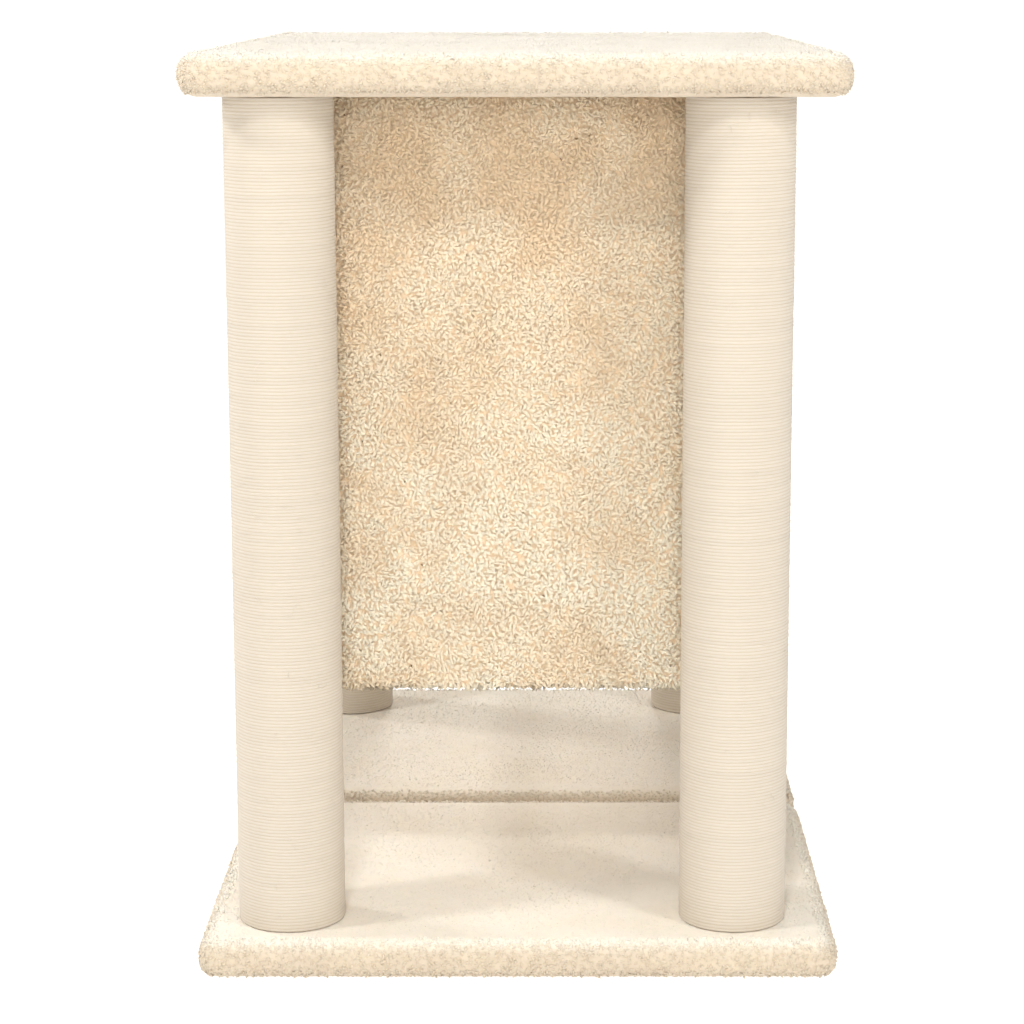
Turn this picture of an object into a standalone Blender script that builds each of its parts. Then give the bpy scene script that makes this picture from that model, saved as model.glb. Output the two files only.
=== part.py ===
"""Cat tree: a two-storey bench with four sisal posts and a plush cave hung under its top.

Units are metres. +X runs across the tree, +Y along it and +Z up. The origin is on the floor,
under the middle of the tree.
"""

import math

import bmesh
import bpy
from mathutils import Vector

# Overall plan of both storeys.
WIDTH = 0.384
DEPTH = 0.580
GAP = 0.0003  # left between touching pieces

# A plate is a chipboard core in short plush, which wraps its edges and folds under its rim.
CORE_T = 0.018
PLUSH_T = 0.0032
SKIN_T = PLUSH_T + GAP
PLATE_T = CORE_T + 2 * SKIN_T
PLUSH_CORNER_R = 0.013
PLUSH_EDGE_R = 0.009
CORE_CORNER_R = PLUSH_CORNER_R - SKIN_T
FOLDED_RIM = 0.030

# Posts.
POST_L = 0.500
POST_R = 0.0325
TUBE_R = 0.0290
TUBE_WALL = 0.004
PLUG_T = 0.018
POST_INSET = 0.049  # from a plate's end to a post's axis
POST_PITCH = 0.270  # between the two rows
POST_ROW_SHIFT = -0.004  # both rows sit a little off the plates' centre line
POST_PLACES = {
    "front_left": (-1, -1),
    "front_right": (1, -1),
    "rear_left": (-1, 1),
    "rear_right": (1, 1),
}

# Heights of the stack.
POST_Z = PLATE_T + GAP
TOP_Z = POST_Z + POST_L + GAP

# The cave: five upholstered panels, with the top plate as its ceiling.
CAVE_W = 0.300
CAVE_TO_POST = 0.003
CAVE_D = DEPTH - 2 * (POST_INSET + POST_R + CAVE_TO_POST)
CAVE_Z = 0.1535
WALL_CORE_T = 0.012
FUR_T = 0.008
LINING_T = 0.0034
WALL_T = FUR_T + WALL_CORE_T + LINING_T + 2 * GAP
WALL_TOP_Z = TOP_Z - GAP
FUR_EDGE_R = 0.003
ENTRANCE_R = 0.100
ENTRANCE_Z = 0.345
COLLAR_T = 0.0075

# Fasteners, as radius and length.
BOLT_R = 0.004
BOLT_HEAD_R = 0.008
BOLT_HEAD_T = 0.0045
BOLT_SOCKET_R = 0.0035
BOLT_SOCKET_T = 0.0025
BOLT_REACH = 0.015  # into a post's plug
COUNTERBORE_R = 0.010
COUNTERBORE_T = 0.0065
TEE_FLANGE_R = 0.009
TEE_FLANGE_T = 0.0015
TEE_BARREL_R = 0.0055
TEE_L = 0.013
SCREW_R = 0.002
SCREW_HEAD_R = 0.004
SCREW_HEAD_T = 0.0025
HANGING_SCREW_L = 0.050
HANGING_SCREW_Y = 0.120
FLOOR_SCREW_L = 0.045
FLOOR_SCREW_X = 0.080
STRIP_SCREW_L = 0.014
STRIP_SCREW_HEAD_T = 0.0008

# Steel strips that join the two base boards underneath.
STRIP_X = 0.110
STRIP_W = 0.030
STRIP_L = 0.090
STRIP_T = 0.002
STRIP_CORNER_R = 0.004
STRIP_SCREW_Y = 0.032
STRIP_NOTCH_W = 0.036

DOORWAY_STEPS = 32
POST_STEPS = 24
SMALL_STEPS = 12
PAST = 0.002  # how far a cutter runs past the face that it opens

COLOURS = {
    "short_plush": ((0.90, 0.80, 0.66), 0.95, 0.0),
    "long_plush": ((0.82, 0.67, 0.49), 0.95, 0.0),
    "sisal": ((0.88, 0.78, 0.62), 0.90, 0.0),
    "chipboard": ((0.55, 0.40, 0.25), 0.80, 0.0),
    "cardboard": ((0.50, 0.36, 0.22), 0.90, 0.0),
    "plug_wood": ((0.62, 0.46, 0.28), 0.75, 0.0),
    "zinc_steel": ((0.60, 0.60, 0.60), 0.35, 1.0),
}


def clear_scene():
    for thing in list(bpy.data.objects):
        bpy.data.objects.remove(thing)


def new_collection(name):
    collection = bpy.data.collections.new(name)
    bpy.context.scene.collection.children.link(collection)
    return collection


def make_materials():
    made = {}
    for name, (colour, roughness, metallic) in COLOURS.items():
        material = bpy.data.materials.new(name)
        material.use_nodes = True
        shader = material.node_tree.nodes["Principled BSDF"]
        shader.inputs["Base Color"].default_value = (*colour, 1.0)
        shader.inputs["Roughness"].default_value = roughness
        shader.inputs["Metallic"].default_value = metallic
        made[name] = material
    return made


clear_scene()
PARTS = new_collection("cat_tree")
CUTTERS = new_collection("cutters")
MATERIALS = make_materials()


def add_part(name, mesh, material, parent=None, location=(0, 0, 0)):
    part = bpy.data.objects.new(name, mesh)
    if not mesh.materials:
        mesh.materials.append(MATERIALS[material])
    PARTS.objects.link(part)
    part.parent = parent
    part.location = location
    return part


def add_cutter(name, mesh, location=(0, 0, 0), rotation=(0, 0, 0)):
    cutter = bpy.data.objects.new(name, mesh)
    CUTTERS.objects.link(cutter)
    cutter.location = location
    cutter.rotation_euler = rotation
    cutter.hide_render = True
    cutter.display_type = "WIRE"
    return cutter


def add_empty(name, location):
    empty = bpy.data.objects.new(name, None)
    PARTS.objects.link(empty)
    empty.location = location
    return empty


def cut(part, *cutters):
    for cutter in cutters:
        boolean = part.modifiers.new(cutter.name, "BOOLEAN")
        boolean.operation = "DIFFERENCE"
        boolean.solver = "EXACT"
        boolean.object = cutter


def box_mesh(name, size, corner_r=0.0, edge_r=0.0):
    """A box about its own centre: corner_r rounds its upright edges, edge_r its top and bottom rims."""
    bm = bmesh.new()
    bmesh.ops.create_cube(bm, size=1.0)
    bmesh.ops.scale(bm, vec=size, verts=bm.verts)
    half = size[2] / 2
    if corner_r:
        upright = [e for e in bm.edges if abs(e.verts[0].co.z - e.verts[1].co.z) > half]
        bmesh.ops.bevel(bm, geom=upright, offset=corner_r, segments=5, profile=0.5, affect="EDGES")
    if edge_r:
        rims = [
            e for e in bm.edges
            if abs(e.verts[0].co.z - e.verts[1].co.z) < 1e-6 and e.calc_face_angle(0.0) > 1.0
        ]
        bmesh.ops.bevel(bm, geom=rims, offset=edge_r, segments=4, profile=0.5, affect="EDGES")
    mesh = bpy.data.meshes.new(name)
    bm.to_mesh(mesh)
    bm.free()
    return mesh


def box_between(low, high):
    """The size and the centre of the box with these corners."""
    low = Vector(low)
    high = Vector(high)
    return high - low, (high + low) / 2


def cutter_between(name, low, high):
    size, centre = box_between(low, high)
    return add_cutter(name, box_mesh(name, size), centre)


def outline_mesh(name, profile, closed):
    """The edges of a profile of (radius, height) points, in the XZ plane."""
    mesh = bpy.data.meshes.new(name)
    count = len(profile)
    edges = [(i, i + 1) for i in range(count - 1)]
    if closed:
        edges.append((count - 1, 0))
    mesh.from_pydata([(radius, 0.0, height) for radius, height in profile], edges, [])
    return mesh


def turn(thing, steps):
    """Turns the object's profile about its own Z axis."""
    screw = thing.modifiers.new("turn", "SCREW")
    screw.axis = "Z"
    screw.steps = steps
    screw.render_steps = steps
    screw.use_merge_vertices = True
    screw.merge_threshold = 0.00001
    screw.use_smooth_shade = False
    return thing


def ring_profile(inner_r, outer_r, low, high):
    return [(inner_r, high), (outer_r, high), (outer_r, low), (inner_r, low)]


def stepped_profile(steps):
    """A solid profile from (radius, top, bottom) steps, listed from the top down."""
    profile = [(0.0, steps[0][1])]
    for radius, top, bottom in steps:
        profile += [(radius, top), (radius, bottom)]
    profile.append((0.0, steps[-1][2]))
    return profile


def turned_cutter(name, steps, location, rotation=(0, 0, 0)):
    mesh = outline_mesh(name, stepped_profile(steps), closed=False)
    return turn(add_cutter(name, mesh, location, rotation), SMALL_STEPS)


def post_xy(place):
    across, along = POST_PLACES[place]
    return (
        POST_ROW_SHIFT + across * POST_PITCH / 2,
        along * (DEPTH / 2 - POST_INSET),
    )


def screw_mesh(name, length, head_t=SCREW_HEAD_T):
    """A flat-headed screw that points down: its head's top is at the origin."""
    steps = [(SCREW_HEAD_R, 0.0, -head_t), (SCREW_R, -head_t, -length)]
    return outline_mesh(name, stepped_profile(steps), closed=False)


def screw_hole(name, length, head_t, location, rotation=(0, 0, 0)):
    """The clearance hole of screw_mesh, open above its head."""
    steps = [
        (SCREW_HEAD_R + GAP, PAST, -head_t - GAP),
        (SCREW_R + GAP, -head_t - GAP, -length - GAP),
    ]
    return turned_cutter(name, steps, location, rotation)


def plush_shell(name, size, centre, cutters):
    """Short plush round a plate's core: closed on top and at the edges, folded under the rim."""
    inner = Vector(size) - Vector((PLUSH_T,) * 3) * 2
    shell = add_part(name, box_mesh(name, size, PLUSH_CORNER_R, PLUSH_EDGE_R), "short_plush",
                     location=centre)
    core_room = add_cutter(f"{name}_core_room", box_mesh(name, inner, CORE_CORNER_R + GAP), centre)
    rim = 2 * FOLDED_RIM
    mouth_size = (size[0] - rim, size[1] - rim, PLUSH_T + PAST + GAP)
    mouth_z = centre[2] - size[2] / 2 + (PLUSH_T - PAST) / 2
    mouth = add_cutter(f"{name}_mouth", box_mesh(name, mouth_size), (centre[0], centre[1], mouth_z))
    cut(shell, core_room, mouth, *cutters)
    return shell


def plate_core(name, size, centre, cutters):
    core_size = Vector(size) - Vector((SKIN_T,) * 3) * 2
    core = add_part(name, box_mesh(name, core_size, CORE_CORNER_R), "chipboard", location=centre)
    cut(core, *cutters)
    return core


def base_bolt_cutter(place):
    """Clears a base bolt: a counterbore for its head and a hole right through the plate."""
    x, y = post_xy(place)
    shoulder = SKIN_T + COUNTERBORE_T
    steps = [(BOLT_R + GAP, PLATE_T + PAST, shoulder), (COUNTERBORE_R, shoulder, -PAST)]
    return turned_cutter(f"base_bolt_hole_{place}", steps, (x, y, 0))


def make_base_bolt(place):
    x, y = post_xy(place)
    head_top = SKIN_T + COUNTERBORE_T - GAP
    head_low = head_top - BOLT_HEAD_T
    profile = [
        (0.0, POST_Z + BOLT_REACH),
        (BOLT_R, POST_Z + BOLT_REACH),
        (BOLT_R, head_top),
        (BOLT_HEAD_R, head_top),
        (BOLT_HEAD_R, head_low),
        (BOLT_SOCKET_R, head_low),
        (BOLT_SOCKET_R, head_low + BOLT_SOCKET_T),
        (0.0, head_low + BOLT_SOCKET_T),
    ]
    mesh = outline_mesh(f"base_bolt_{place}", profile, closed=False)
    turn(add_part(f"base_bolt_{place}", mesh, "zinc_steel", location=(x, y, 0)), SMALL_STEPS)


def make_base():
    """Two equal plates end to end, joined underneath by two steel strips."""
    half = DEPTH / 2
    size = (WIDTH, half - GAP / 2, PLATE_T)
    hole_cutters = {place: base_bolt_cutter(place) for place in POST_PLACES}
    notches = []
    strip_holes = {}
    for side, across in (("left", -1), ("right", 1)):
        x = across * STRIP_X
        reach = STRIP_L / 2 + GAP
        notches.append(cutter_between(
            f"strip_notch_{side}",
            (x - STRIP_NOTCH_W / 2, -reach - PAST, -PAST),
            (x + STRIP_NOTCH_W / 2, reach + PAST, SKIN_T - GAP / 2),
        ))
        strip_top = SKIN_T - GAP
        strip = add_part(
            f"base_strip_{side}",
            box_mesh(f"base_strip_{side}", (STRIP_W, STRIP_L, STRIP_T), STRIP_CORNER_R),
            "zinc_steel",
            location=(x, 0, strip_top - STRIP_T / 2),
        )
        for end, along in (("front", -1), ("rear", 1)):
            # These screws point up, so each is turned over about X.
            place = (x, along * STRIP_SCREW_Y, strip_top - STRIP_T - GAP - STRIP_SCREW_HEAD_T)
            flipped = (math.pi, 0, 0)
            name = f"base_strip_screw_{side}_{end}"
            mesh = screw_mesh(name, STRIP_SCREW_L, STRIP_SCREW_HEAD_T)
            screw = turn(add_part(name, mesh, "zinc_steel", location=place), SMALL_STEPS)
            screw.rotation_euler = flipped
            hole = turned_cutter(
                f"{name}_hole", [(SCREW_R + GAP, 0.0, -STRIP_SCREW_L - GAP)], place, flipped
            )
            strip_holes[name] = hole
            cut(strip, hole)
    for end, along in (("front", -1), ("rear", 1)):
        centre = (0, along * (half + GAP / 2) / 2, PLATE_T / 2)
        own_holes = [hole for place, hole in hole_cutters.items() if place.startswith(end)]
        own_screws = [hole for name, hole in strip_holes.items() if name.endswith(end)]
        plate_core(f"base_board_{end}", size, centre, own_holes + own_screws)
        plush_shell(f"base_plush_{end}", size, centre, own_holes + notches)
    for place in POST_PLACES:
        make_base_bolt(place)


def make_post(place):
    """A sisal-wound cardboard tube with a plug in each end, on an empty at its foot."""
    foot = add_empty(f"post_{place}", (*post_xy(place), POST_Z))
    bore = TUBE_R - TUBE_WALL
    rings = {
        "sisal": ("sisal", ring_profile(TUBE_R + GAP, POST_R, 0.0, POST_L), 0.0),
        "tube": ("cardboard", ring_profile(bore, TUBE_R, 0.0, POST_L), 0.0),
        "bottom_plug": ("plug_wood", ring_profile(BOLT_R + GAP, bore - GAP, 0.0, PLUG_T), 0.0),
        "top_plug": ("plug_wood", ring_profile(BOLT_R + GAP, bore - GAP, 0.0, PLUG_T), POST_L - PLUG_T),
    }
    for kind, (material, profile, height) in rings.items():
        name = f"post_{kind}_{place}"
        mesh = outline_mesh(name, profile, closed=True)
        turn(add_part(name, mesh, material, foot, (0, 0, height)), POST_STEPS)


def tee_nut_cutter(place):
    """Clears a tee nut from above and its stud from below."""
    x, y = post_xy(place)
    core_top = TOP_Z + PLATE_T - SKIN_T
    flange_low = core_top - TEE_FLANGE_T - GAP
    barrel_low = core_top - TEE_L - GAP
    steps = [
        (TEE_FLANGE_R + GAP, core_top + GAP / 2, flange_low),
        (TEE_BARREL_R + GAP, flange_low, barrel_low),
        (BOLT_R + GAP, barrel_low, TOP_Z - PAST),
    ]
    return turned_cutter(f"stud_hole_{place}", steps, (x, y, 0))


def make_stud_and_tee_nut(place):
    x, y = post_xy(place)
    core_top = TOP_Z + PLATE_T - SKIN_T
    nut_top = core_top - GAP
    bore = BOLT_R + GAP
    nut_profile = [
        (bore, nut_top),
        (TEE_FLANGE_R, nut_top),
        (TEE_FLANGE_R, nut_top - TEE_FLANGE_T + GAP),
        (TEE_BARREL_R, nut_top - TEE_FLANGE_T + GAP),
        (TEE_BARREL_R, core_top - TEE_L),
        (bore, core_top - TEE_L),
    ]
    nut_mesh = outline_mesh(f"tee_nut_{place}", nut_profile, closed=True)
    turn(add_part(f"tee_nut_{place}", nut_mesh, "zinc_steel", location=(x, y, 0)), SMALL_STEPS)
    stud_steps = [(BOLT_R, nut_top - GAP, TOP_Z - GAP - BOLT_REACH)]
    stud_mesh = outline_mesh(f"post_stud_{place}", stepped_profile(stud_steps), closed=False)
    turn(add_part(f"post_stud_{place}", stud_mesh, "zinc_steel", location=(x, y, 0)), SMALL_STEPS)


def hanging_screw_place(across, along):
    wall_core_x = CAVE_W / 2 - FUR_T - GAP - WALL_CORE_T / 2
    head_top = TOP_Z + PLATE_T - SKIN_T - GAP
    return (across * wall_core_x, along * HANGING_SCREW_Y, head_top)


def make_hanging_screws():
    """Screws through the top plate's core into the cave's side walls. Returns their holes."""
    holes = {}
    for side, across in (("left", -1), ("right", 1)):
        for end, along in (("front", -1), ("rear", 1)):
            name = f"cave_hanging_screw_{side}_{end}"
            place = hanging_screw_place(across, along)
            mesh = screw_mesh(name, HANGING_SCREW_L)
            turn(add_part(name, mesh, "zinc_steel", location=place), SMALL_STEPS)
            holes[name] = screw_hole(f"{name}_hole", HANGING_SCREW_L, SCREW_HEAD_T, place)
    return holes


def make_top(hanging_holes):
    size = (WIDTH, DEPTH, PLATE_T)
    centre = (0, 0, TOP_Z + PLATE_T / 2)
    stud_holes = [tee_nut_cutter(place) for place in POST_PLACES]
    plate_core("top_board", size, centre, stud_holes + list(hanging_holes.values()))
    # The plush is whole on top and covers the screw heads. Only its folded rim meets the studs.
    plush_shell("top_plush", size, centre, [])
    inset = FOLDED_RIM + GAP
    lining_size = (WIDTH - 2 * inset, DEPTH - 2 * inset, PLUSH_T)
    lining = add_part(
        "top_underside_lining",
        box_mesh("top_underside_lining", lining_size),
        "short_plush",
        location=(0, 0, TOP_Z + PLUSH_T / 2),
    )
    cut(lining, *stud_holes, *hanging_holes.values())
    for place in POST_PLACES:
        make_stud_and_tee_nut(place)


def upholstered_panel(name, low, high, skins, mouth, screw_holes=(), entrance_x=None):
    """A board in a plush sock. skins is the sock's thickness at each low and high side, in X, Y
    and Z order. mouth is the (axis, side) where the sock is open and the board comes flush."""
    low = Vector(low)
    high = Vector(high)
    size, centre = box_between(low, high)
    cover_mesh = box_mesh(f"{name}_cover", size)
    cover = add_part(f"{name}_cover", cover_mesh, "long_plush", location=centre)
    rounding = cover.modifiers.new("rounding", "BEVEL")
    rounding.width = FUR_EDGE_R
    rounding.segments = 2
    rounding.limit_method = "NONE"

    board_low = low + Vector([skins[axis][0] + GAP for axis in range(3)])
    board_high = high - Vector([skins[axis][1] + GAP for axis in range(3)])
    room_low = board_low - Vector((GAP, GAP, GAP))
    room_high = board_high + Vector((GAP, GAP, GAP))
    axis, side = mouth
    if side > 0:
        board_high[axis] = high[axis]
        room_high[axis] = high[axis] + PAST
    else:
        board_low[axis] = low[axis]
        room_low[axis] = low[axis] - PAST
    room = cutter_between(f"{name}_board_room", room_low, room_high)
    board_size, board_centre = box_between(board_low, board_high)
    board = add_part(f"{name}_board", box_mesh(f"{name}_board", board_size), "chipboard",
                     location=board_centre)

    if entrance_x is not None:
        quarter_turn = (0, math.pi / 2, 0)
        place = (entrance_x, 0, ENTRANCE_Z)
        radii = {
            "doorway": ENTRANCE_R,
            "collar": ENTRANCE_R + COLLAR_T,
            "board_hole": ENTRANCE_R + COLLAR_T + GAP,
        }
        rounds = {}
        for kind, radius in radii.items():
            mesh = outline_mesh(f"{name}_{kind}", stepped_profile([(radius, WALL_T, -WALL_T)]), False)
            rounds[kind] = turn(
                add_cutter(f"{name}_{kind}", mesh, place, quarter_turn), DOORWAY_STEPS
            )
        cut(room, rounds["collar"])
        cut(board, rounds["board_hole"])
        cut(cover, room, rounds["doorway"])
    else:
        cut(cover, room)
    cut(board, *screw_holes)
    return cover


def make_floor_screws():
    """Screws through the end walls' boards into the floor's ends. Returns their holes."""
    holes = {}
    floor_core_z = CAVE_Z + FUR_T + GAP + WALL_CORE_T / 2
    head_y = CAVE_D / 2 - FUR_T - GAP - GAP
    for end, along in (("front", -1), ("rear", 1)):
        # A screw that points down is turned about X until it points into the cave.
        rotation = (-along * math.pi / 2, 0, 0)
        for side, across in (("left", -1), ("right", 1)):
            name = f"cave_floor_screw_{end}_{side}"
            place = (across * FLOOR_SCREW_X, along * head_y, floor_core_z)
            mesh = screw_mesh(name, FLOOR_SCREW_L)
            screw = turn(add_part(name, mesh, "zinc_steel", location=place), SMALL_STEPS)
            screw.rotation_euler = rotation
            steps = [
                (SCREW_HEAD_R + GAP, GAP + GAP / 2, -SCREW_HEAD_T - GAP),
                (SCREW_R + GAP, -SCREW_HEAD_T - GAP, -FLOOR_SCREW_L - GAP),
            ]
            holes[name] = turned_cutter(f"{name}_hole", steps, place, rotation)
    return holes


def make_cave(hanging_holes):
    """Two end walls, two side walls with a round doorway each, and a floor between them."""
    floor_holes = make_floor_screws()
    half_w = CAVE_W / 2
    half_d = CAVE_D / 2
    top = (2, 1)
    for end, along in (("front", -1), ("rear", 1)):
        y_sides = sorted((along * half_d, along * (half_d - WALL_T)))
        y_skins = (FUR_T, LINING_T) if along < 0 else (LINING_T, FUR_T)
        own = [hole for name, hole in floor_holes.items() if f"_{end}_" in name]
        cover = upholstered_panel(
            f"cave_{end}_wall",
            (-half_w, y_sides[0], CAVE_Z),
            (half_w, y_sides[1], WALL_TOP_Z),
            ((FUR_T, FUR_T), y_skins, (FUR_T, 0.0)),
            top,
            own,
        )
        cut(cover, *own)
    side_y = half_d - WALL_T - GAP
    for side, across in (("left", -1), ("right", 1)):
        x_sides = sorted((across * half_w, across * (half_w - WALL_T)))
        x_skins = (FUR_T, LINING_T) if across < 0 else (LINING_T, FUR_T)
        own = [hole for name, hole in hanging_holes.items() if f"_{side}_" in name]
        upholstered_panel(
            f"cave_{side}_wall",
            (x_sides[0], -side_y, CAVE_Z),
            (x_sides[1], side_y, WALL_TOP_Z),
            (x_skins, (LINING_T, LINING_T), (FUR_T, 0.0)),
            top,
            own,
            entrance_x=sum(x_sides) / 2,
        )
    floor_x = half_w - WALL_T - GAP
    cover = upholstered_panel(
        "cave_floor",
        (-floor_x, -side_y, CAVE_Z),
        (floor_x, side_y, CAVE_Z + WALL_T),
        ((LINING_T, LINING_T), (LINING_T, 0.0), (FUR_T, LINING_T)),
        (1, 1),
        floor_holes.values(),
    )
    cut(cover, *[hole for name, hole in floor_holes.items() if "_front_" in name])


make_base()
for post_place in POST_PLACES:
    make_post(post_place)
cave_hanging_holes = make_hanging_screws()
make_top(cave_hanging_holes)
make_cave(cave_hanging_holes)
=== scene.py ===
"""Looks of the cat tree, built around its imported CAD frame.

The plates wear a short plush, the box between the posts a long curly one, and the posts a winding of
thin sisal cord. Each soft surface is a fine skin in its CAD solid's place with tufts standing on it.
"""

import itertools
import math
from collections import namedtuple

import bmesh
import bpy
import numpy as np
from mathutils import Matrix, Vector


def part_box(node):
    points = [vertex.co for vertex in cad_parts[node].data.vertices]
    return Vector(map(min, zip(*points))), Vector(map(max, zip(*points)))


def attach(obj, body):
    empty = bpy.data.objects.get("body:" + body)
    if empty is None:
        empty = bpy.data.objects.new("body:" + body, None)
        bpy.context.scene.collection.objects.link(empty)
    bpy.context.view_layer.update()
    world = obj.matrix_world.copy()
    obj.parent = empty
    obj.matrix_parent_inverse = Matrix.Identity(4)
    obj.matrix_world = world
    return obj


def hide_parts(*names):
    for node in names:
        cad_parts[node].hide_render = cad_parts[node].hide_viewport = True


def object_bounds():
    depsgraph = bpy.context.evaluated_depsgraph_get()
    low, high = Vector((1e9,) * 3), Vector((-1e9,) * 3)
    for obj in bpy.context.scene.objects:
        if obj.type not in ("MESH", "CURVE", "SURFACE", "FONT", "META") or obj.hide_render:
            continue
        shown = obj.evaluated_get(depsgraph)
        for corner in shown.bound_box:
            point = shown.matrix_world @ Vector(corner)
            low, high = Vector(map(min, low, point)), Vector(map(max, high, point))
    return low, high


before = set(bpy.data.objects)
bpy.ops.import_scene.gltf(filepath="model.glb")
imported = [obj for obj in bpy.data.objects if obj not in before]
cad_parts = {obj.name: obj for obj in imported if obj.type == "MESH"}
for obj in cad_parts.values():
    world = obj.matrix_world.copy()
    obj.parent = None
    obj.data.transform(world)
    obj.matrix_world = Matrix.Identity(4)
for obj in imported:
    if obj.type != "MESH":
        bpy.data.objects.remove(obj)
cad_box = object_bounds()

TAU = 2 * math.pi
TREE = "root"  # the tree's one body
X, Y, Z = 0, 1, 2
DOWN = np.array((0.0, 0.0, -1.0))
MOST_TRIANGLES = 180_000  # in one piece of tufts

# Plates
PLATE_CORNER_R = 0.013
PLATE_EDGE_R = 0.0115
PLATE_STEP = 0.0024  # between the points of its skin
PLATE_LUMP = 0.0005  # how deep the skin's hollows are
PLUSH_T = 0.0032
FOLDED_RIM = 0.030
SEAM_SHOULDER = 0.021  # how far in from the seam each base cover starts to roll down into it
SEAM_CORE_CUT = 0.0100  # how far the boards stay clear of the seam under those shoulders
RIM_PAINTED_SHADE = 0.25  # painted shade on a rim: the tone of the pile's tips there, from its root colour to its tip colour
RIM_TILT = 0.97  # a normal nearer to upright than this is on the flat of a plate
PRESSED_TILT = -0.75  # and one that looks further down than this is on the pressed or folded side
SEAM_PAINTED_SHADE = 0.1  # the share of the seam's shoulder where the painted shade in the pile is at its deepest
PLATE_GRAINS = (0.0055, 0.0026)  # of its lumps, coarse and fine
PLATE_TONE = (0.94, 0.06)  # its tone between them, and how far they change it; lower lumps sit in hollows, so this paints shade there
NOTCH_ROOM = 0.0025  # left round each steel strip
POST_ROOM = 0.0005  # left round each post's foot
SHORT_TINT_GRAIN = 0.004

# Lining under the top plate
LINING_STEP = 0.0038
LINING_CORNER_R = 0.003
LINING_EDGE_R = 0.0012
LINING_LUMP = 0.0003
LINING_GRAIN = 0.005
LINING_TONE = (0.45, 0.04)

# Cave
FUR_T = 0.0055  # room for the tufts inside the CAD cover
WALL_CORNER_R = 0.004
WALL_EDGE_R = 0.0035
WALL_LUMP = 0.0006
WALL_GRAINS = (0.009, 0.004)
WALL_TONE = (0.42, 0.08)  # of the skin, which shows between the tufts, held towards the root colour as painted shade in the gaps
WALL_STEP = 0.0022
FRONT_STEP = 0.0018  # finer, because the photo looks straight at it
CAVE_FLOOR_STEP = 0.0032
FURRY_TILT = 0.4  # how squarely a face has to look outwards to carry fur
CAVE_LOW = 0.20  # between these heights the fur's tone deepens upwards, as painted shade under the top plate
CAVE_HIGH = 0.52
DOORWAY_R = 0.100
DOORWAY_Z = 0.345
COLLAR_IN = 0.0035  # the collar's two edges, outside the doorway's edge
COLLAR_OUT = 0.0120
COLLAR_STEPS = 220  # round the doorway
COLLAR_SIDES = 24  # round its section
COLLAR_SQUARE = 0.35  # the power that squares its section, where 1 leaves an ellipse
COLLAR_PROUD = 0.001  # past the fur's roots outside
COLLAR_LAP = 0.0005  # past the lining inside
COLLAR_TILT = 0.3  # as FURRY_TILT, for the collar
COLLAR_GRAIN = 0.006
LONG_TINT_GRAIN = 0.006

# Posts
ROPE_PITCH = 0.0020
ROPE_DEPTH = 0.00032
ROPE_ROWS = 3  # mesh rows per turn: one in the groove, two on the cord
ROPE_STAGGER = 0.00006  # how far turns stand in or out of line
ROPE_WAVER = 0.00018  # how far they wander up and down
ROPE_WAVER_GRAIN = 0.012
ROPE_WALL = 0.0028  # of the winding behind the grooves
POST_SEGMENTS = 40
POST_STRAYS = 150
POST_PLACES = ("front_left", "front_right", "rear_left", "rear_right")

# Tufts. A tuft's way over the surface is a sum of a flow, which varies over flow_size, a random scatter
# and a droop. It leans that way, curls on from there and swings to one side, all in radians. uneven is
# how far lengths vary, soft how far its shading leans to the surface's, and depth how far its root is
# darkened, as painted shade deep in the pile.
Tuft = namedtuple(
    "Tuft", "length radius rings lean curl swing flow flow_size scatter droop uneven soft depth")
SHORT_NAP = Tuft(0.0014, 0.00080, 1, 1.20, 0.0, 0.0, 1.2, 0.030, 0.5, 0.0, 0.3, 1.6, 0.1)
RIM_NAP = Tuft(0.0024, 0.00110, 2, 0.75, 0.9, 0.5, 0.8, 0.006, 0.9, 0.1, 0.25, 1.0, 0.5)
CURLY_FUR = Tuft(0.0050, 0.00125, 2, 0.65, 1.1, 1.0, 1.2, 0.008, 1.0, 0.5, 0.3, 1.8, 0.75)
COLLAR_FUR = CURLY_FUR._replace(length=0.006)
STRAY_FIBRE = Tuft(0.0080, 0.00010, 3, 1.0, 0.5, 0.8, 0.2, 0.020, 1.0, 0.0, 0.5, 0.0, 0.0)
TUFT_LEANS = (0.4, 1.4)  # the least and the most of its tuft's lean and curl that one has
TUFT_WIDTHS = (0.75, 1.2)
TUFT_TAPER = 0.22

# Studio
FLOOR_SIZE = 12.0
FLOOR_DROP = 0.0004
FLOOR_PAINT = 0.45
FLOOR_GLOW = 0.84  # its own light, so that shadows on it nearly vanish
SKY_LIGHT = 0.40
SKY_COLOUR = (1, 0.97, 0.93)
HORIZON_LIGHT = 1.13  # bright enough to be plain white behind the tree
HORIZON_TOP = 0.22  # the sines of the heights where the bright horizon ends and the sky starts
SKY_START = 0.50
Lamp = namedtuple("Lamp", "left up distance size level")  # left and up are degrees from the front
LAMPS = {
    "front": Lamp(0, 13, 3.2, 1.2, 0.255),
    "key": Lamp(4, 45, 2.8, 0.25, 0.24),
    "left": Lamp(65, 40, 3.0, 0.40, 0.32),
    "right": Lamp(-45, 28, 3.0, 0.60, 0.27),
    "back": Lamp(115, 26, 3.0, 0.60, 0.30),
    "rear": Lamp(180, 22, 3.0, 0.80, 0.40),
}
CAMERA_BACK = 1.507  # in front of the plates' front edge
CAMERA_SIDE = 0.0227
CAMERA_HEIGHT = 0.593
CAMERA_PITCH = 10.13  # degrees below level
CAMERA_LENS = 93.18  # millimetres
CAMERA_SHIFT = (-0.0424, -0.06)


# ---------------------------------------------------------------- numbers and noise

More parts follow.
